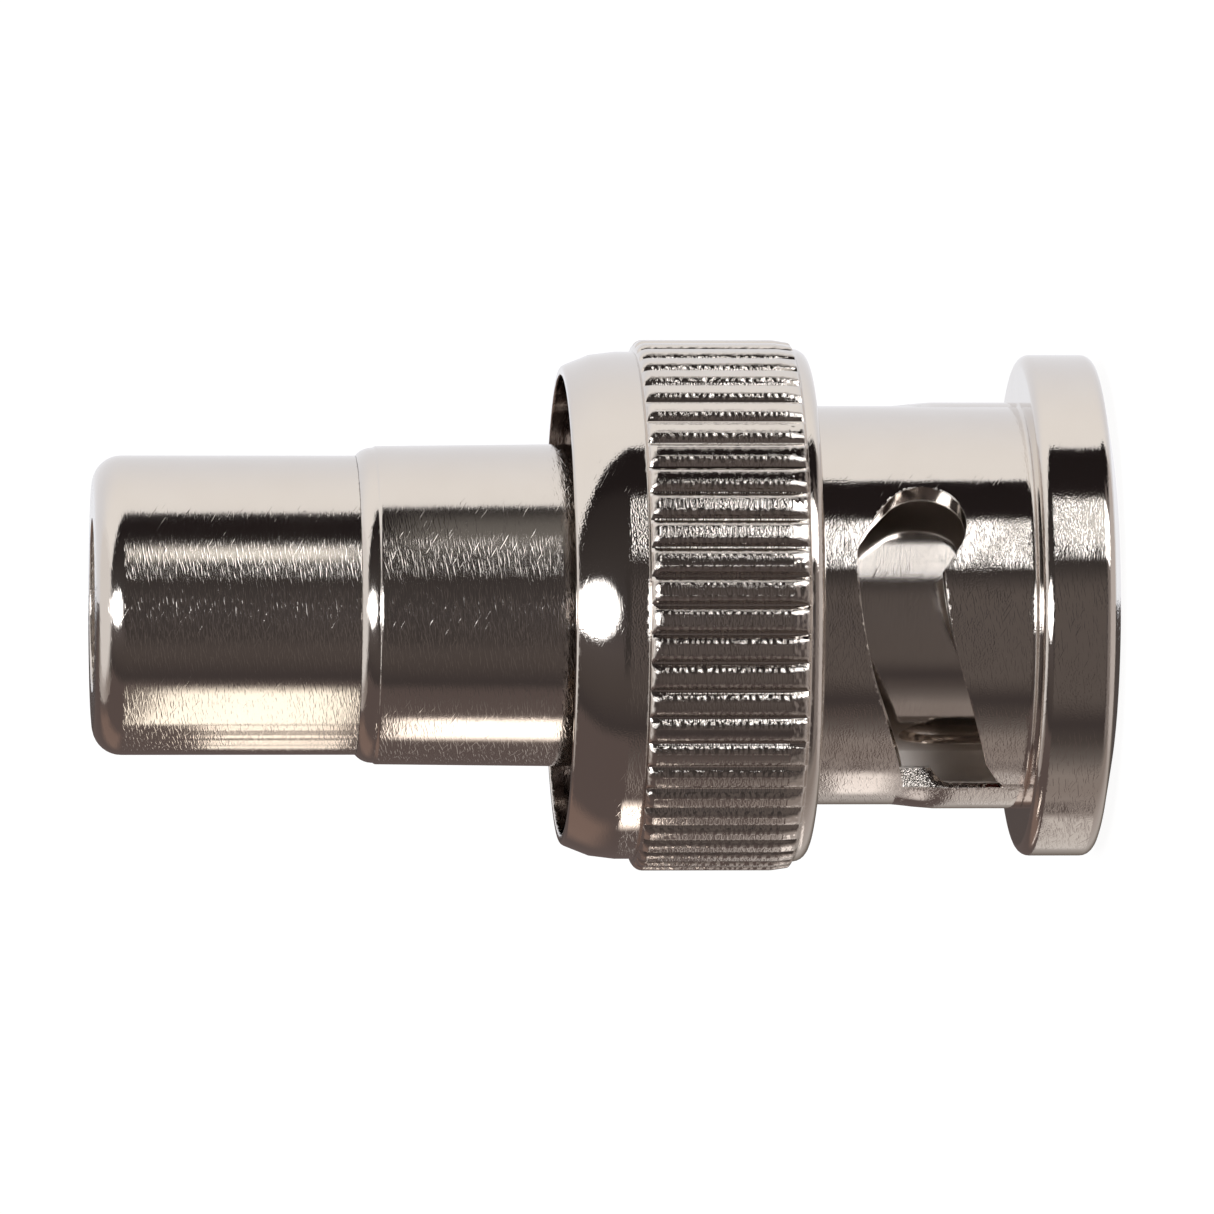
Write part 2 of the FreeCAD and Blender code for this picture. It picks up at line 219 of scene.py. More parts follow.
def trueNormals(piece, outline):
    look = shadingLook
    mesh = piece.data
    mesh.polygons.foreach_set("use_smooth", np.ones(len(mesh.polygons), bool))
    mesh.set_sharp_from_angle(angle=math.radians(look["smoothDeg"]))
    corners = len(mesh.loops)
    normals = np.empty(corners * 3, np.float32)
    mesh.corner_normals.foreach_get("vector", normals)
    normals = normals.reshape(-1, 3)
    where = np.empty(len(mesh.vertices) * 3, np.float32)
    mesh.vertices.foreach_get("co", where)
    where = where.reshape(-1, 3) / mm
    vertexOf = np.empty(corners, np.int32)
    mesh.loops.foreach_get("vertex_index", vertexOf)
    faces = len(mesh.polygons)
    sizes = np.empty(faces, np.int32)
    mesh.polygons.foreach_get("loop_total", sizes)
    centres = np.empty(faces * 3, np.float32)
    mesh.polygons.foreach_get("center", centres)
    centres = centres.reshape(-1, 3) / mm
    facing = np.empty(faces * 3, np.float32)
    mesh.polygons.foreach_get("normal", facing)
    facing = facing.reshape(-1, 3)
    angle = np.arctan2(centres[:, 0], -centres[:, 1])
    radial = facing[:, 0] * np.sin(angle) - facing[:, 1] * np.cos(angle)
    path, startNormals, endNormals = outline
    following = np.roll(path, -1, 0)
    step = following - path
    length = np.linalg.norm(step, axis=1)
    flat = np.stack([np.hypot(centres[:, 0], centres[:, 1]), centres[:, 2]], -1)
    nearest = np.full(faces, -1)
    best = np.full(faces, look["faceReach"])
    middle = startNormals + endNormals
    middle /= np.maximum(np.linalg.norm(middle, axis=1), 1e-9)[:, None]
    for k in range(len(path)):
        if length[k] < 1e-7:
            continue
        share = np.clip(((flat - path[k]) @ step[k]) / length[k] ** 2, 0, 1)
        distance = np.linalg.norm(flat - path[k] - share[:, None] * step[k], axis=1)
        agrees = radial * middle[k, 0] + facing[:, 2] * middle[k, 1] > look["faceAgrees"]
        better = (distance < best) & agrees
        nearest[better] = k
        best[better] = distance[better]
    faceOf = np.repeat(np.arange(faces), sizes)
    run = nearest[faceOf]
    spot = where[vertexOf]
    spotFlat = np.stack([np.hypot(spot[:, 0], spot[:, 1]), spot[:, 2]], -1)
    away = spotFlat - path[run]
    share = np.clip((away * step[run]).sum(1) / np.maximum(length[run], 1e-9) ** 2, 0, 1)[:, None]
    off = np.linalg.norm(away - share * step[run], axis=1)
    turnedNormal = startNormals[run] * (1 - share) + endNormals[run] * share
    turnedNormal /= np.linalg.norm(turnedNormal, axis=1)[:, None]
    spotAngle = np.arctan2(spot[:, 0], -spot[:, 1])
    chosen = (run >= 0) & (off < look["cornerReach"])
    lifted = np.stack([turnedNormal[:, 0] * np.sin(spotAngle),
                       -turnedNormal[:, 0] * np.cos(spotAngle), turnedNormal[:, 1]], -1)
    normals[chosen] = lifted[chosen]
    mesh.normals_split_custom_set(normals)


# Coupling nut: turned outline, straight knurl, pushed-out keyway skins, bayonet windows.
# Lengths in millimetres; columnPhases are the mesh columns' places in one tooth's pitch.
nutLook = {
    "teeth": 57, "grooveRoot": 7.195, "rootHalfWidth": 0.02, "edgeRounding": 0.080,
    "columnPhases": (0.0, 0.025, 0.17, 0.225, 0.28, 0.36, 0.64, 0.72, 0.775, 0.83, 0.975),
    "knurlFrom": 8.5, "knurlTo": 13.2, "arcStepDeg": 16.0, "longestRun": 0.62,
    "sleeveRadius": 5.54, "boreRadius": 4.90,
    "cutterRadius": 1.18, "entryDeg": -78.0, "windowStartDeg": -65.0,
    "windowFoot": 2.92, "windowFootRun": 1.20,
    "trackDeg": (-80.0, -67.0, -52.0, -34.0, -19.0, -2.0, 14.0),
    "trackHeight": (4.46, 4.53, 4.75, 5.19, 5.60, 5.95, 6.09),
    "detentDeg": 23.6, "detentHeight": 5.42,
    "keywayRadius": 5.55, "keywayHalfWidth": 1.22, "keywayEnd": 4.45,
    "windowDepths": (4.50, 6.30), "keywayDepth": 3.0,
    "swellRadius": 3.60, "swellReach": 5.68, "swellStart": 2.33, "swellEnd": 5.90,
    "swellFall": 0.14, "swellTurnDeg": -2.0, "skinRadii": (5.5, 5.9),
}
nutCorners = [
    (4.90, 0.0, 0.05), (5.28, 0.0, 0.20), (6.97, 0.33, 0.32), (6.97, 2.32, 0.32),
    (5.54, 2.32, 0.10), (5.54, 8.25, 0.08), (7.10, 8.25, 0.38), (7.13, 8.66, 0.02),
    (7.305, 8.76, 0.08), (7.375, 9.21, 0.40), (7.375, 13.09, 0.31), (7.045, 13.09, 0.03),
    (7.045, 14.308, 2.88), (6.627, 15.07, 0.13), (6.38, 15.07, 0.03), (6.38, 14.25, 0.02),
    (6.62, 14.03), (6.62, 13.48), (6.30, 13.48, 0.03), (6.30, 11.05), (4.90, 11.05, 0.03),
]


# Smaller of two radii with a rounded changeover of the given size.
def softSmaller(first, second, size):
    gap = np.clip(0.5 + 0.5 * (second - first) / size, 0, 1)
    return second * (1 - gap) + first * gap - size * gap * (1 - gap)


def nutShape(radius, angle, height):
    look = nutLook
    pitch = 2 * math.pi / look["teeth"]
    phase = angle / pitch
    across = np.abs(phase - np.round(phase)) * pitch * look["grooveRoot"]
    groove = look["grooveRoot"] + np.maximum(across - look["rootHalfWidth"], 0)
    inBand = ((radius > look["grooveRoot"] - look["rootHalfWidth"])
              & (height > look["knurlFrom"]) & (height < look["knurlTo"]))
    shaped = np.where(inBand, softSmaller(radius, groove, look["edgeRounding"]), radius)
    shaped = np.where(inBand, np.minimum(shaped, radius), shaped)
    # the keyway skin: a smaller circle set off the axis, fading out over its last millimetre
    offset = look["swellReach"] - look["swellRadius"]
    onSleeve = ((radius > look["skinRadii"][0]) & (radius < look["skinRadii"][1])
                & (height > look["swellStart"]) & (height < look["swellEnd"]))
    for half in (0.0, math.pi):
        turn = angle - math.radians(look["entryDeg"] + look["swellTurnDeg"]) - half
        fade = np.clip(look["swellEnd"] - height, 0, 1)
        size = look["swellRadius"] - look["swellFall"] * (1 - fade * fade * (3 - 2 * fade))
        inside = np.maximum(size ** 2 - (offset * np.sin(turn)) ** 2, 0)
        lobe = np.where(np.cos(turn) > 0, offset * np.cos(turn) + np.sqrt(inside), 0)
        shaped = np.where(onSleeve, np.maximum(shaped, lobe), shaped)
    return shaped


# Natural cubic spline through the track's points, solved for its second slopes.
def splineThrough(x, y):
    count = len(x)
    gap = np.diff(x)
    matrix = np.eye(count)
    right = np.zeros(count)
    for i in range(1, count - 1):
        matrix[i, i - 1:i + 2] = gap[i - 1], 2 * (gap[i - 1] + gap[i]), gap[i]
        right[i] = 6 * ((y[i + 1] - y[i]) / gap[i] - (y[i] - y[i - 1]) / gap[i - 1])
    bend = np.linalg.solve(matrix, right)

    def value(at):
        k = np.clip(np.searchsorted(x, at) - 1, 0, count - 2)
        left, rest = x[k + 1] - at, at - x[k]
        curve = (bend[k] * left ** 3 + bend[k + 1] * rest ** 3) / (6 * gap[k])
        return (curve + (y[k] / gap[k] - bend[k] * gap[k] / 6) * left
                + (y[k + 1] / gap[k] - bend[k + 1] * gap[k] / 6) * rest)
    return value


# The window's edge in the unrolled sleeve: the cutter's centre line moved half a cutter to
# each side, a round end at the detent, and a straight cut where the window opens.
def windowOutline():
    look = nutLook
    perDegree = look["sleeveRadius"] * math.pi / 180
    x = np.array(look["trackDeg"]) * perDegree
    line = splineThrough(x, np.array(look["trackHeight"]))
    along = np.linspace(x[0], x[-1], 160)
    height = line(along)
    slope = np.gradient(height, along)
    length = np.hypot(1, slope)
    sides = [np.stack([along - side * look["cutterRadius"] * slope / length,
                       height + side * look["cutterRadius"] / length], -1) for side in (1, -1)]
    start = look["windowStartDeg"] * perDegree
    turn = np.array([along[-1], height[-1]])
    detent = np.array([look["detentDeg"] * perDegree, look["detentHeight"]])
    drop = detent - turn
    flatDeg = math.degrees(math.atan(slope[-1])) + 90
    dropDeg = math.degrees(math.atan2(drop[1], drop[0])) + 90

    def arc(centre, first, last, count):
        turnBy = np.radians(np.linspace(first, last, count))
        return centre + look["cutterRadius"] * np.stack([np.cos(turnBy), np.sin(turnBy)], -1)

    rear = sides[0][sides[0][:, 0] > start]
    end = arc(detent, dropDeg, dropDeg - 180, 40)
    sideways = np.array([drop[1], -drop[0]]) / np.linalg.norm(drop) * look["cutterRadius"]
    inner = turn + sideways
    wall = (end[-1] - inner)
    front = sides[1][sides[1][:, 0] > start + look["windowFootRun"]]
    above = front[:, 1] - inner[1] - wall[1] / wall[0] * (front[:, 0] - inner[0])
    front = front[above < 0]
    foot = np.array([[start, look["windowFoot"]]])
    rearStart = np.array([[start, np.interp(start, sides[0][:, 0], sides[0][:, 1])]])
    return np.concatenate([rearStart, rear, arc(turn, flatDeg, dropDeg, 8)[1:], end[1:],
                           front[::-1], foot])


# Closes the open ends of a cutter and points its faces outwards.
def closeEnds(cutter):
    work = bmesh.new()
    work.from_mesh(cutter.data)
    bmesh.ops.holes_fill(work, edges=[e for e in work.edges if e.is_boundary])
    bmesh.ops.triangulate(work, faces=[f for f in work.faces if len(f.verts) > 4])
    bmesh.ops.recalc_face_normals(work, faces=work.faces)
    work.to_mesh(cutter.data)
    work.free()


# A cutter with radial walls: the unrolled outline laid on a small and on a large cylinder.
def radialCutter(name, outline, innerRadius, outerRadius, turnDeg):
    look = nutLook
    angle = outline[:, 0] / look["sleeveRadius"] + math.radians(turnDeg)
    count = len(outline)
    inner = aroundAxis(innerRadius, angle, outline[:, 1])
    outer = aroundAxis(outerRadius, angle, outline[:, 1])
    ring = np.arange(count)
    following = (ring + 1) % count
    quads = np.stack([ring, following, following + count, ring + count], -1)
    cutter = meshObject(name, np.concatenate([inner, outer]), quads)
    closeEnds(cutter)
    return cutter


# The entry groove: a flat-sided slot with a round end, its floor on a cylinder.
def keywayCutter(name, turnDeg):
    look = nutLook
    half = look["keywayHalfWidth"]
    bend = np.radians(np.linspace(0, 180, 33))
    across = np.concatenate([[half], half * np.cos(bend), [-half]])
    height = np.concatenate([[-1.0], look["keywayEnd"] + half * np.sin(bend), [-1.0]])
    count = len(across)
    ring = np.arange(count)
    inner = np.stack([across, np.full(count, -look["keywayDepth"]), height], -1)
    outer = np.stack([across, -np.sqrt(look["keywayRadius"] ** 2 - across ** 2), height], -1)
    following = (ring + 1) % count
    quads = np.stack([ring, following, following + count, ring + count], -1)
    cutter = meshObject(name, np.concatenate([inner, outer]), quads)
    closeEnds(cutter)
    cutter.data.transform(Matrix.Rotation(math.radians(turnDeg), 4, "Z"))
    return cutter


def couplingNut():
    look = nutLook
    outline = outlineOf(nutCorners, look["arcStepDeg"], look["longestRun"])
    pitch = 2 * math.pi / look["teeth"]
    tooth = np.arange(look["teeth"])[:, None]
    angles = ((tooth + np.array(look["columnPhases"])[None, :]) * pitch).ravel()
    nut = turnedPiece("couplingNut", outline[0], angles=angles, reshape=nutShape)
    window = windowOutline()
    cutters = []
    for turn in (0.0, 180.0):
        cutters.append(radialCutter("windowCutter", window, *look["windowDepths"], turn))
        cutters.append(keywayCutter("keywayCutter", look["entryDeg"] + turn))
    cutOut(nut, cutters)
    trueNormals(nut, outline)
    return nut


nut = couplingNut()
print("coupling nut:", len(nut.data.polygons), "faces")
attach(nut, "nut")
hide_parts("coupling_nut")

# Phono shell, a plain tube with a rounded mouth and an inward lip.
shellCorners = [
    (3.60, 17.60), (3.60, 20.784), (4.15, 20.784), (4.15, 28.06, 0.80),
    (2.37, 28.06, 0.05), (2.37, 26.91), (3.00, 26.91), (3.00, 17.60),
]
# Body: pilot, thrust collar, barrel and the rolled mouth that holds the shell.
bodyCorners = [
    (3.85, 10.20), (4.78, 10.20, 0.08), (4.78, 11.07), (6.20, 11.07, 0.08), (6.20, 12.05, 0.08),
    (4.475, 12.05, 0.05), (4.475, 14.80), (4.415, 20.24, 0.10), (4.375, 20.28, 0.05),
    (4.36, 20.66, 0.60), (4.15, 20.784), (3.60, 20.784), (3.60, 17.60), (3.00, 17.60),
    (3.00, 12.60), (3.85, 12.60),
]
# Sprung sleeve that shows through the bayonet windows.
contactCorners = [
    (3.50, 1.85, 0.10), (4.05, 1.85, 0.22), (4.05, 9.20), (3.85, 9.20), (3.85, 12.60), (3.50, 12.60),
]
plugInsulatorCorners = [
    (0.95, 7.20), (2.45, 7.20, 0.15), (2.45, 2.60, 0.08), (3.35, 2.60, 0.08), (3.35, 7.50),
    (3.50, 7.50), (3.50, 12.60), (3.00, 12.60), (3.00, 15.20), (0.95, 15.20),
]
pinCorners = [
    (0.0, 2.10), (0.30, 2.10, 0.12), (0.675, 2.65, 0.90), (0.675, 7.20), (0.95, 7.20),
    (0.95, 15.20), (0.50, 15.20), (0.50, 17.20), (0.0, 17.20),
]
socketCorners = [
    (0.50, 15.20), (0.95, 15.20), (0.95, 19.30), (1.95, 19.30, 0.10), (1.95, 26.50, 0.10),
    (1.60, 26.50, 0.15), (1.60, 20.30), (0.0, 20.30), (0.0, 17.20), (0.50, 17.20),
]
phonoInsulatorCorners = [
    (1.95, 19.30), (3.00, 19.30), (3.00, 26.91), (2.35, 26.91), (2.35, 27.60, 0.08),
    (1.80, 27.60, 0.15), (1.80, 26.50), (1.95, 26.50),
]
ringCorners = [(4.78, 13.48, 0.06), (6.60, 13.48, 0.06), (6.60, 14.03, 0.06), (4.78, 14.03, 0.06)]
gasketCorners = [(4.02, 9.45, 0.12), (4.76, 9.45, 0.12), (4.76, 10.20), (4.02, 10.20)]


# Saw cuts through a tube's wall, evenly round the axis.
def slitCutters(count, firstDeg, width, low, high):
    cutters = []
    for k in range(count):
        x = np.array([-1, 1, 1, -1, -1, 1, 1, -1]) * width / 2
        y = -np.array([0.3, 0.3, 8, 8, 0.3, 0.3, 8, 8])
        z = np.array([low] * 4 + [high] * 4)
        faces = np.array([[0, 1, 2, 3], [4, 7, 6, 5], [0, 4, 5, 1],
                          [1, 5, 6, 2], [2, 6, 7, 3], [3, 7, 4, 0]])
        cutter = meshObject("slitCutter", np.stack([x, y, z], -1), faces)
        cutter.data.transform(Matrix.Rotation(math.radians(firstDeg + 360 / count * k), 4, "Z"))
        cutter.data.flip_normals()
        cutters.append(cutter)
    return cutters


# Slits are: how many, the first one's degrees, width, from height, to height.
contactSlits = (4, -48.0, 0.36, 0.85, 9.00)
socketSlits = (4, 20.0, 0.35, 22.40, 27.50)
# Piece, outline, columns round the axis, slits, body, the node it replaces, finish.
turnedPieces = [
    ("phonoShell", shellCorners, 320, None, "body", "rca_shell", "nickel_plate"),
    ("adapterBody", bodyCorners, 320, None, "body", "adapter_body", "nickel_plate"),
    ("outerContact", contactCorners, 320, contactSlits, "body", "outer_contact", "nickel_plate"),
    ("plugInsulator", plugInsulatorCorners, 160, None, "body", "bnc_insulator", "ptfe"),
    ("centrePin", pinCorners, 96, None, "body", "centre_pin", "gold_plate"),
    ("socketContact", socketCorners, 128, socketSlits, "body", "socket_contact", "gold_plate"),
    ("phonoInsulator", phonoInsulatorCorners, 160, None, "body", "rca_insulator", "ptfe"),
    ("retainingRing", ringCorners, 256, None, "nut", "retaining_ring", "spring_steel"),
    ("gasketRing", gasketCorners, 192, None, "body", "gasket", "silicone_rubber"),
]
made = {"couplingNut": nut}
for name, corners, columns, slits, bodyName, node, slotName in turnedPieces:
    outline = outlineOf(corners, arcStep=11.0, longestRun=0.8)
    piece = turnedPiece(name, outline[0], columns)
    if slits:
        cutOut(piece, slitCutters(*slits))
    trueNormals(piece, outline)
    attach(piece, bodyName)
    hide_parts(node)
    made[name] = piece
print("turned pieces:", len(made))

# The spring keeps the solid's own waves, with its points merged and its faces smoothly shaded.
springLook = {"seatHeight": 12.05, "keepAtFullTravel": 0.26, "mergeDistance": 0.001, "smoothDeg": 30.0}


def waveSpring():
    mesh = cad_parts["wave_washer"].data.copy()
    work = bmesh.new()
    work.from_mesh(mesh)
    bmesh.ops.remove_doubles(work, verts=work.verts, dist=springLook["mergeDistance"] * mm)
    work.to_mesh(mesh)
    work.free()
    mesh.polygons.foreach_set("use_smooth", np.ones(len(mesh.polygons), bool))
    mesh.set_sharp_from_angle(angle=math.radians(springLook["smoothDeg"]))
    spring = bpy.data.objects.new("waveSpring", mesh)
    bpy.context.scene.collection.objects.link(spring)
    return spring


spring = waveSpring()
made["waveSpring"] = spring
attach(spring, "body")
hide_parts("wave_washer")


# Coordinates laid on a turned surface in millimetres: arc length, height, radius.
def turnedCoordinates(tree, meanRadius):
    where = addNode(tree, "ShaderNodeTexCoord").outputs["Object"]
    apart = addNode(tree, "ShaderNodeSeparateXYZ", links={0: where}).outputs
    flipped = multiplied(tree, apart[1], -1.0)
    angle = maths(tree, "ARCTAN2", apart[0], flipped)
    radius = maths(tree, "SQRT", maths(tree, "ADD", multiplied(tree, apart[0], apart[0]),
                                       multiplied(tree, apart[1], apart[1])))
    arc = multiplied(tree, angle, meanRadius)
    height = multiplied(tree, apart[2], 1 / mm)
    depth = multiplied(tree, radius, 1 / mm)
    return addNode(tree, "ShaderNodeCombineXYZ", links={0: arc, 1: height, 2: depth}).outputs[0]


def noise(tree, where, scale, detail):
    return addNode(tree, "ShaderNodeTexNoise", values={"Scale": scale, "Detail": detail},
                   links={"Vector": where}).outputs[0]


# Noise drawn out along one direction, like marks left by a tool or by handling.
# lean is measured from the turning direction; sizes are in millimetres.
def drawnNoise(tree, where, leanDeg, widthMm, lengthMm, seed):
    turned = addNode(tree, "ShaderNodeMapping", values={
        "Location": (seed * 7.3, seed * 3.1, seed * 1.7),
        "Rotation": (0, 0, math.radians(leanDeg))}, links={0: where}).outputs[0]
    stretched = addNode(tree, "ShaderNodeMapping", {"vector_type": "TEXTURE"}, {
        "Scale": (lengthMm, widthMm, lengthMm)}, {0: turned}).outputs[0]
    return noise(tree, stretched, 1.0, 1.0)


# A mix of two colours by a mask or a noise.
def mixedColour(tree, share, first, second):
    return addNode(tree, "ShaderNodeMix", {"data_type": "RGBA"}, {
        6: linearColour(first), 7: linearColour(second)}, {0: share}).outputs[2]


def total(tree, parts):
    result = parts[0]
    for part in parts[1:]:
        result = maths(tree, "ADD", result, part)
    return result


# Nickel plate on turned brass: bright and slightly warm. Turning marks run round the piece
# and spread a lamp's reflection into short bright strokes; a few handling scratches and
# plating specks sparkle beside it; the edges are rounded unevenly and catch the light in dots.
platingLook = {
    # drawn-out noise: lean in degrees, width, length, seed; then where it starts and is full
    "marks": (5.0, 0.05, 0.45, 1), "strokes": (-9.0, 0.055, 0.33, 2), "strokesFrom": (0.50, 0.72),
    "scratches": (29.0, 0.055, 0.60, 3), "scratchesFrom": (0.66, 0.80),
    "speckScale": 20.0, "speckGroups": 0.9, "speckGroupsFrom": (0.42, 0.62),
    "edgeScale": 7.0, "edgeFrom": (0.42, 0.66), "edgeWide": 1.7, "edgeThin": 0.2,
    "smearScale": 0.8, "smearRoughness": 0.06, "colours": ("#DAD4CF", "#D6CFC9"),
    # the knurl by height and radius: band, below the crests, above the roots, in the roots
    "bandFrom": (8.62, 8.70), "bandTo": (13.12, 13.04), "belowCrest": (7.3745, 7.366),
    "aboveRoot": (7.24, 7.30), "inRoot": (7.30, 7.22), "inBore": (5.00, 4.94), "lumpScale": 7.5,
    "bumpHeight": 0.001, "bevelSamples": 4,
}


def nickelMaterial(name, look):
    plate = platingLook
    material = bpy.data.materials.new(name)
    material.use_nodes = True
    tree = material.node_tree
    tree.nodes.clear()
    where = turnedCoordinates(tree, look["radius"])
    apart = addNode(tree, "ShaderNodeSeparateXYZ", links={0: where}).outputs
    layers = []
    if look["marks"]:
        layers.append(multiplied(tree, drawnNoise(tree, where, *plate["marks"]), look["marks"]))
    for kind in ("strokes", "scratches"):
        if look[kind]:
            lines = softStep(tree, drawnNoise(tree, where, *plate[kind]), *plate[kind + "From"])
            layers.append(multiplied(tree, lines, look[kind]))
    if look["specks"]:
        dots = noise(tree, where, plate["speckScale"], 0.0)
        groups = noise(tree, where, plate["speckGroups"], 1.0)
        here = multiplied(tree, softStep(tree, groups, *plate["speckGroupsFrom"]), look["specks"])
        layers.append(multiplied(tree, dots, here))
    uneven = softStep(tree, noise(tree, where, plate["edgeScale"], 1.0), *plate["edgeFrom"])
    width = multiplied(tree, uneven, look["edge"] * plate["edgeWide"] * mm)
    width = maths(tree, "ADD", width, look["edge"] * plate["edgeThin"] * mm)
    smear = noise(tree, where, plate["smearScale"], 3.0)
    rough = maths(tree, "ADD", multiplied(tree, smear, plate["smearRoughness"]),
                  look["roughness"] - plate["smearRoughness"] / 2)
    if "teeth" in look:
        inBand = multiplied(tree, softStep(tree, apart[1], *plate["bandFrom"]),
                            softStep(tree, apart[1], *plate["bandTo"]))
        belowCrest = multiplied(tree, inBand, softStep(tree, apart[2], *plate["belowCrest"]))
        onEdge = multiplied(tree, belowCrest, softStep(tree, apart[2], *plate["aboveRoot"]))
        lumps = noise(tree, where, plate["lumpScale"], 0.0)
        layers.append(multiplied(tree, lumps, multiplied(tree, onEdge, look["teeth"])))
        inRoot = multiplied(tree, inBand, softStep(tree, apart[2], *plate["inRoot"]))
        # each tooth's crest is crowned by the knurling wheel
        width = maths(tree, "ADD", width, multiplied(tree, inBand, look["crestRounding"] * mm))
        width = multiplied(tree, width, maths(tree, "SUBTRACT", 1.0, inRoot))
        # the bore is drilled, so it is rougher and greyer than the outside
        inBore = softStep(tree, apart[2], *plate["inBore"])
        rough = maths(tree, "ADD", rough, multiplied(tree, inBore, look["boreRoughness"]))
    edge = addNode(tree, "ShaderNodeBevel", {"samples": plate["bevelSamples"]}, links={"Radius": width})
    bump = addNode(tree, "ShaderNodeBump", values={"Strength": 1.0, "Distance": plate["bumpHeight"] * mm},
                   links={"Height": total(tree, layers), "Normal": edge.outputs[0]})
    tint = mixedColour(tree, smear, *plate["colours"])
    shader = addNode(tree, "ShaderNodeBsdfPrincipled", values={"Metallic": 1.0}, links={
        "Base Color": tint, "Roughness": rough, "Normal": bump.outputs[0]})
    addNode(tree, "ShaderNodeOutputMaterial", links={0: shader.outputs[0]})
    return material


# A plain procedural finish for the small inner pieces: colour, gloss and a fine grain.
# Grain and relief are in millimetres.
def plainMaterial(name, dark, light, metallic, roughness, grain, relief):
    material = bpy.data.materials.new(name)
    material.use_nodes = True
    tree = material.node_tree
    tree.nodes.clear()
    where = turnedCoordinates(tree, 3.0)
    grains = noise(tree, where, 1 / grain, 3.0)
    bump = addNode(tree, "ShaderNodeBump", values={"Strength": 1.0, "Distance": relief * mm},
                   links={"Height": grains})
    shader = addNode(tree, "ShaderNodeBsdfPrincipled", values={"Metallic": metallic, "Roughness": roughness},
                     links={"Base Color": mixedColour(tree, grains, dark, light), "Normal": bump.outputs[0]})
    addNode(tree, "ShaderNodeOutputMaterial", links={0: shader.outputs[0]})
    return material


# Marks, strokes, scratches, specks and teeth are heights in thousandths of a millimetre.
nickelLooks = {
    "couplingNut": {"radius": 6.0, "marks": 0.45, "strokes": 0.5, "scratches": 0.8, "specks": 1.6,
                    "edge": 0.06, "roughness": 0.06, "teeth": 14.0, "crestRounding": 0.12,
                    "boreRoughness": 0.30},
    "phonoShell": {"radius": 4.15, "marks": 0.85, "strokes": 1.35, "scratches": 1.0, "specks": 0,
                   "edge": 0.04, "roughness": 0.11},
    "adapterBody": {"radius": 4.45, "marks": 0.75, "strokes": 1.1, "scratches": 1.5, "specks": 0.7,
                    "edge": 0.04, "roughness": 0.11},
    "outerContact": {"radius": 4.05, "marks": 0.5, "strokes": 0, "scratches": 0.6, "specks": 0.7,
                     "edge": 0.05, "roughness": 0.12},
}
# What each finish gives the eye: bright nickel outside, warm gold on the two centre contacts,
# matt white bushes, a ring deep in the skirt whose dark colour is painted shade, and the red seal in the
# plug's mouth.
finishes = {
    **{name: nickelMaterial("nickelPlated" + name[0].upper() + name[1:], look)
       for name, look in nickelLooks.items()},
    "plugInsulator": plainMaterial("turnedPtfe", "#E9E8E4", "#F4F4F1", 0.0, 0.45, 0.3, 0.002),
    "phonoInsulator": plainMaterial("mouldedInsulator", "#E9E8E4", "#F4F4F1", 0.0, 0.45, 0.3, 0.002),
    "centrePin": plainMaterial("goldPlatedPin", "#D9A94F", "#E3B863", 1.0, 0.16, 0.2, 0.001),
    "socketContact": plainMaterial("goldPlatedSocket", "#D9A94F", "#E3B863", 1.0, 0.18, 0.2, 0.001),
    # the ring deep in the skirt is steel; its dark brown colour is painted shade of the recess it sits in
    "retainingRing": plainMaterial("springSteelPaintedShade", "#5A4C48", "#6B5A54", 1.0, 0.32, 0.1, 0.002),
    "gasketRing": plainMaterial("siliconeRubber", "#8A2A20", "#96332A", 0.0, 0.55, 0.2, 0.002),
}
springSteel = plainMaterial("springSteel", "#8C8680", "#9A948D", 1.0, 0.28, 0.1, 0.002)
finishes["waveSpring"] = springSteel
for name, material in finishes.items():
    made[name].data.materials.clear()
    made[name].data.materials.append(material)
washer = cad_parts["thrust_washer"].data
washer.materials.clear()
washer.materials.append(springSteel)
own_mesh(spring)
print("finishes done")

# The photograph's own view: distances in mm, angles in degrees.
cameraLook = {"focalPixels": 12676.0, "framePixels": 1214.0, "distance": 352.1, "downDeg": 4.14,
              "aimHeight": 13.76, "sideways": -0.05, "dipPerMm": 0.1627}

# Floor: white to the camera, with the part's soft shadow; left out of mirror reflections,
# because the part is mirrored in the studio round it and the photograph shows no floor.
stageLook = {"floorSize": 6.0, "floorColour": "#F2F1EE", "shadowGrey": 0.16, "whiteGlow": 0.92}
half = stageLook["floorSize"] / 2
floorPoints = np.array([[-half, -half, 0], [half, -half, 0], [half, half, 0], [-half, half, 0]]) / mm
floor = meshObject("floor", floorPoints, np.array([[0, 1, 2, 3]]))
floorMaterial = bpy.data.materials.new("paleFloor")
floorMaterial.use_nodes = True
tree = floorMaterial.node_tree
tree.nodes.clear()
path = addNode(tree, "ShaderNodeLightPath")
diffuse = addNode(tree, "ShaderNodeBsdfDiffuse", values={"Color": linearColour(stageLook["floorColour"])})
faint = addNode(tree, "ShaderNodeBsdfDiffuse", values={"Color": [stageLook["shadowGrey"]] * 3 + [1]})
glow = addNode(tree, "ShaderNodeEmission", values={"Color": (1, 1, 1, 1), "Strength": stageLook["whiteGlow"]})
seen = addNode(tree, "ShaderNodeAddShader", links={0: faint.outputs[0], 1: glow.outputs[0]})
mixed = addNode(tree, "ShaderNodeMixShader", links={
    0: path.outputs["Is Camera Ray"], 1: diffuse.outputs[0], 2: seen.outputs[0]})
addNode(tree, "ShaderNodeOutputMaterial", links={0: mixed.outputs[0]})
floor.data.materials.append(floorMaterial)
floor.visible_glossy = False

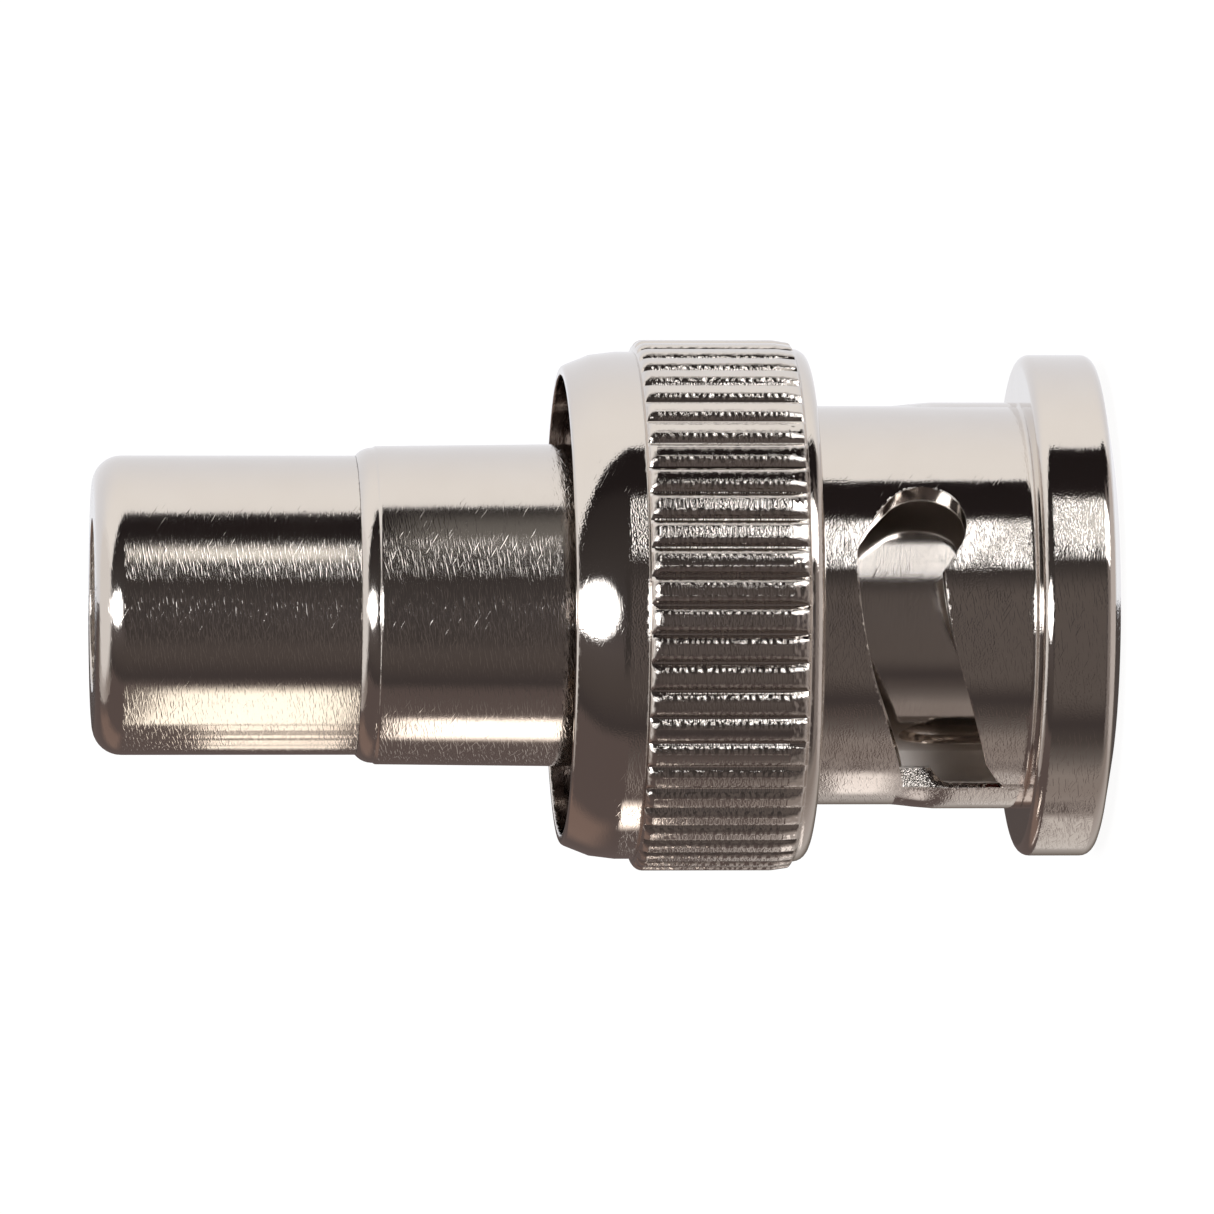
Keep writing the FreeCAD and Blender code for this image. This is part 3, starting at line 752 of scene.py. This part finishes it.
# The studio is painted on the world by direction. Azimuth 0 is the camera's side and grows
# towards +X; elevation is towards +Z. The part's mirror-bright sides show it as bands.
studioLook = {
    # grey round the horizon: (azimuth, colour)
    "horizon": [(-180, "#4A4341"), (-166, "#80776F"), (-150, "#C2BBB6"), (-126, "#BCB3AE"),
                (-96, "#9A8F89"), (-85, "#9A908A"), (-75, "#736C68"), (-66, "#544D4A"),
                (-57, "#484140"), (-43, "#544C49"), (-34, "#58504D"), (-22, "#5D5553"),
                (-8, "#565050"), (4, "#494443"), (20, "#433E3C"), (50, "#332E2D"),
                (56, "#262121"), (80, "#221D1D"), (100, "#3A3432"), (180, "#8A827E")],
    # soft shades under the big light: azimuth from, to, elevation from, to, softness of each,
    # colour, strength
    "shades": [
        ("front lift of the sleeve", -48, 12, -12, -4.7, 16, 0.5, "#675F5B", 1.0),
        ("front shade of the jack", -30, 26, -2.9, 3.0, 14, 0.9, "#423D3B", 1.0),
        ("right side lift", -75, 60, -60, -24, 14, 12, "#8E8581", 1.0),
        ("lower left shade", -178, -62, -4.75, 46, 8, 0.5, "#665A57", 1.0),
        ("lower left glow", -150, -120, 4, 40, 14, 12, "#8A756C", 1.0),
    ],
    "lamps": [
        ("strip lamp", 22, 49.5, -48, -10.5, 2.5, 0.5, "#FFFFFF", 4.5),
        ("strip lamp's upper end", 22, 49.5, -5.95, -5.15, 4, 0.14, "#FFFFFF", 4.2),
        ("strip lamp's weaker part", 28, 50, -10.5, -5.95, 6, 0.2, "#E0DCD6", 1.0),
        ("lower card line", -112, -103, -6.6, -5.9, 5, 0.3, "#5A4F4C", 1.0),
        ("lower card for the flange", -152, -115, -6.7, -5.9, 5, 0.10, "#DDD6D0", 1.05),
    ],
    # front oval: azimuth, its half width, elevation, its half height, where its rim starts, strength
    "frontOval": (-2.5, 17.0, 37.0, 31.0, 0.40, 5.0),
    # big upper light: its slanted edge as weights of the direction's parts with the two sums
    # between which it rises, the azimuths of its left end, and its colour
    "upperEdge": (0.147, 0.524, 0.2255, -0.010, 0.014), "upperEnd": (-2.0, 2.0), "upperColour": "#F5F6FA",
    # its warmer near part: azimuths, colour, strength
    "nearPart": (152.0, 86.0), "nearColour": "#FDFAF6", "nearStrength": 1.09,
    # straight above and below: elevations, colour
    "above": (52.0, 64.0), "aboveColour": "#F4F0ED", "below": (-46.0, -60.0), "belowColour": "#D2CAC6",
    "glossyBounces": 8,
}
world = bpy.data.worlds.new("studio")
bpy.context.scene.world = world
world.use_nodes = True
tree = world.node_tree
tree.nodes.clear()
direction = addNode(tree, "ShaderNodeTexCoord").outputs["Generated"]
xyz = addNode(tree, "ShaderNodeSeparateXYZ", links={0: direction}).outputs
azimuth = multiplied(tree, maths(tree, "ARCTAN2", xyz[0], multiplied(tree, xyz[1], -1.0)), 180 / math.pi)
elevation = multiplied(tree, maths(tree, "ARCSINE", xyz[2]), 180 / math.pi)


# A box in azimuth and elevation with soft sides.
def softBox(aLow, aHigh, eLow, eHigh, aSoft, eSoft):
    sides = [(azimuth, aLow, aSoft), (azimuth, aHigh, -aSoft),
             (elevation, eLow, eSoft), (elevation, eHigh, -eSoft)]
    mask = None
    for value, edge, soft in sides:
        step = softStep(tree, value, edge - soft / 2, edge + soft / 2)
        mask = step if mask is None else multiplied(tree, mask, step)
    return mask


def paintOver(under, mask, colour, strength=1.0):
    node = addNode(tree, "ShaderNodeMix", {"data_type": "RGBA"}, links={0: mask, 6: under})
    node.inputs[7].default_value = [c * strength for c in linearColour(colour)[:3]] + [1.0]
    return node.outputs[2]


# A weighted sum of the direction's three parts, cut softly: everything beyond a slanted edge.
def beyondPlane(nx, ny, nz, low, high):
    parts = [multiplied(tree, xyz[k], weight) for k, weight in enumerate((nx, ny, nz))]
    return softStep(tree, total(tree, parts), low, high)


# An oval in azimuth and elevation, bright inside and fading at its rim.
def softOval(aMiddle, aHalf, eMiddle, eHalf, inner):
    across = multiplied(tree, maths(tree, "SUBTRACT", azimuth, aMiddle), 1 / aHalf)
    along = multiplied(tree, maths(tree, "SUBTRACT", elevation, eMiddle), 1 / eHalf)
    distance = total(tree, [multiplied(tree, across, across), multiplied(tree, along, along)])
    return softStep(tree, distance, 1.0, inner)


turn = maths(tree, "ADD", multiplied(tree, azimuth, 1 / 360), 0.5)
ramp = addNode(tree, "ShaderNodeValToRGB", links={0: turn})
while len(ramp.color_ramp.elements) > 1:
    ramp.color_ramp.elements.remove(ramp.color_ramp.elements[0])
for order, (at, colour) in enumerate(studioLook["horizon"]):
    place = at / 360 + 0.5
    stop = ramp.color_ramp.elements[0] if order == 0 else ramp.color_ramp.elements.new(place)
    stop.position = place
    stop.color = linearColour(colour)
paint = ramp.outputs[0]
for label, *box, colour, strength in studioLook["shades"]:
    paint = paintOver(paint, softBox(*box), colour, strength)
upper = multiplied(tree, beyondPlane(*studioLook["upperEdge"]),
                   softStep(tree, azimuth, *studioLook["upperEnd"]))
paint = paintOver(paint, upper, studioLook["upperColour"])
nearPart = multiplied(tree, softStep(tree, azimuth, *studioLook["nearPart"]), upper)
paint = paintOver(paint, nearPart, studioLook["nearColour"], studioLook["nearStrength"])
paint = paintOver(paint, softStep(tree, elevation, *studioLook["above"]), studioLook["aboveColour"])
paint = paintOver(paint, softStep(tree, elevation, *studioLook["below"]), studioLook["belowColour"])
for label, *box, colour, strength in studioLook["lamps"]:
    paint = paintOver(paint, softBox(*box), colour, strength)
*oval, strength = studioLook["frontOval"]
paint = paintOver(paint, softOval(*oval), "#FFFFFF", strength)
# the camera itself sees plain white behind the part
camera = addNode(tree, "ShaderNodeLightPath").outputs["Is Camera Ray"]
paint = paintOver(paint, camera, "#FFFFFF")
background = addNode(tree, "ShaderNodeBackground", values={"Strength": 1.0}, links={0: paint})
addNode(tree, "ShaderNodeOutputWorld", links={0: background.outputs[0]})
# light that finds its way into the slots is mirrored many times there
bpy.context.scene.cycles.glossy_bounces = studioLook["glossyBounces"]


# Small cards held close to the part, seen only as reflections on its sides. Each one is given
# by where its reflection lies on a turned side of the part: the side's radius, the reflected
# azimuths, and the heights in mm; then its colour, strength, and how far it fades in from its
# first azimuth, its last azimuth and its two ends, as shares of its size.
cardLook = {
    "distance": 26.0, "slatScale": 11.0, "slatFrom": (0.40, 0.56),
    "cards": [
        {"name": "jackCard", "lights": "phonoShell", "radius": 4.15, "azimuths": (-63.0, -106.0),
         "heights": ((20.95, 26.3), (20.95, 27.1)), "colour": "#FFF7E6", "strength": 1.7,
         "fades": (0.26, 0.04, 0.04)},
        {"name": "jackSlats", "lights": "phonoShell", "radius": 4.15, "azimuths": (-106.0, -148.0),
         "heights": ((21.2, 25.2), (21.2, 25.1)), "colour": "#FFF3E2", "strength": 1.9,
         "fades": (0.03, 0.03, 0.03), "slats": True},
        {"name": "barrelCard", "lights": "adapterBody", "radius": 4.45, "azimuths": (-87.0, -117.0),
         "heights": ((11.5, 20.2), (11.5, 20.2)), "colour": "#FFF3E6", "strength": 2.2,
         "fades": (0.24, 0.30, 0.02)},
        {"name": "jackGlow", "lights": "phonoShell", "radius": 4.15, "azimuths": (31.0, 49.0),
         "heights": ((20.9, 27.2), (20.9, 27.2)), "colour": "#FFFAF0", "strength": 0.90,
         "fades": (0.45, 0.45, 0.02)},
        {"name": "barrelGlow", "lights": "adapterBody", "radius": 4.45, "azimuths": (30.0, 76.0),
         "heights": ((11.5, 20.3), (11.5, 20.3)), "colour": "#FFFAF0", "strength": 0.16,
         "fades": (0.45, 0.45, 0.02)},
        {"name": "skirtCard", "lights": "couplingNut", "radius": 7.03, "azimuths": (-98.0, -126.0),
         "heights": ((12.5, 14.9), (12.5, 14.9)), "colour": "#FFF2E6", "strength": 3.2,
         "fades": (0.40, 0.40, 0.40)},
        {"name": "sleeveCard", "lights": "couplingNut", "radius": 5.54, "azimuths": (-110.0, -146.0),
         "heights": ((6.0, 7.9), (6.0, 7.9)), "colour": "#E4DDD8", "strength": 0.95,
         "fades": (0.25, 0.25, 0.25)},
    ],
}


# Light of one card: even inside, fading at its sides, and with slats where asked. It adds to
# what lies behind it.
def cardMaterial(look):
    material = bpy.data.materials.new(look["name"])
    material.use_nodes = True
    tree = material.node_tree
    tree.nodes.clear()
    coordinates = addNode(tree, "ShaderNodeTexCoord").outputs["UV"]
    uv = addNode(tree, "ShaderNodeSeparateXYZ", links={0: coordinates}).outputs
    mask = None
    first, last, ends = look["fades"]
    for value, edge, inner in ((uv[0], 0, first), (uv[0], 1, 1 - last),
                               (uv[1], 0, ends), (uv[1], 1, 1 - ends)):
        step = softStep(tree, value, edge, inner)
        mask = step if mask is None else multiplied(tree, mask, step)
    if look.get("slats"):
        stripe = addNode(tree, "ShaderNodeTexNoise", {"noise_dimensions": "1D"},
                         {"Scale": cardLook["slatScale"], "Detail": 1.0}, {"W": uv[0]}).outputs[0]
        mask = multiplied(tree, mask, softStep(tree, stripe, *cardLook["slatFrom"]))
    tint = mixedColour(tree, mask, "#000000", look["colour"])
    glow = addNode(tree, "ShaderNodeEmission", values={"Strength": look["strength"]}, links={"Color": tint})
    clear = addNode(tree, "ShaderNodeBsdfTransparent")
    mixed = addNode(tree, "ShaderNodeAddShader", links={0: clear.outputs[0], 1: glow.outputs[0]})
    addNode(tree, "ShaderNodeOutputMaterial", links={0: mixed.outputs[0]})
    return material


# Where a ray from the camera lands on a card after one reflection at radius R, azimuth a and
# height z: it leaves (R sin a/2, -R cos a/2) along azimuth a and falls by the view's own dip.
def nearCard(look):
    middle = math.radians(sum(look["azimuths"]) / 2)
    normal = np.array([math.sin(middle), -math.cos(middle)])
    corners = []
    for azimuthDeg, heights in zip(look["azimuths"], look["heights"]):
        a = math.radians(azimuthDeg)
        start = look["radius"] * np.array([math.sin(a / 2), -math.cos(a / 2)])
        along = np.array([math.sin(a), -math.cos(a)])
        reach = (cardLook["distance"] - start @ normal) / (along @ normal)
        for height in heights:
            aboveAim = height - cameraLook["aimHeight"]
            dip = math.radians(cameraLook["downDeg"] - cameraLook["dipPerMm"] * aboveAim)
            corners.append([*(start + reach * along), height - reach * math.tan(dip)])
    card = meshObject(look["name"], np.array(corners), np.array([[0, 1, 3, 2]]))
    layer = card.data.uv_layers.new(name="card")
    layer.data.foreach_set("uv", [0, 0, 0, 1, 1, 1, 1, 0])
    card.data.materials.append(cardMaterial(look))
    card.visible_camera = card.visible_diffuse = card.visible_shadow = False
    lit = bpy.data.collections.new(look["name"] + "Lights")
    lit.objects.link(made[look["lights"]])
    card.light_linking.receiver_collection = lit


for cardSpec in cardLook["cards"]:
    nearCard(cardSpec)
print("stage and world done")

# Camera: the photograph's own view, turned a quarter so that the axis lies across it.
cameraData = bpy.data.cameras.new("camera")
cameraData.sensor_width = 36.0
cameraData.lens = 36.0 * cameraLook["focalPixels"] / cameraLook["framePixels"]
cameraData.clip_start = 0.05
cameraData.clip_end = 20.0
cameraObject = bpy.data.objects.new("camera", cameraData)
bpy.context.scene.collection.objects.link(cameraObject)
down = math.radians(cameraLook["downDeg"])
forward = np.array([0.0, math.cos(down), -math.sin(down)])
up = np.array([1.0, 0.0, 0.0])
right = np.cross(forward, up)
aim = np.array([cameraLook["sideways"], 0.0, cameraLook["aimHeight"]]) * mm
place = aim - forward * cameraLook["distance"] * mm
cameraObject.matrix_world = Matrix([[right[0], up[0], -forward[0], place[0]],
                                    [right[1], up[1], -forward[1], place[1]],
                                    [right[2], up[2], -forward[2], place[2]],
                                    [0, 0, 0, 1]])
bpy.context.scene.camera = cameraObject
bpy.context.scene.view_settings.view_transform = "Standard"
print("camera done")
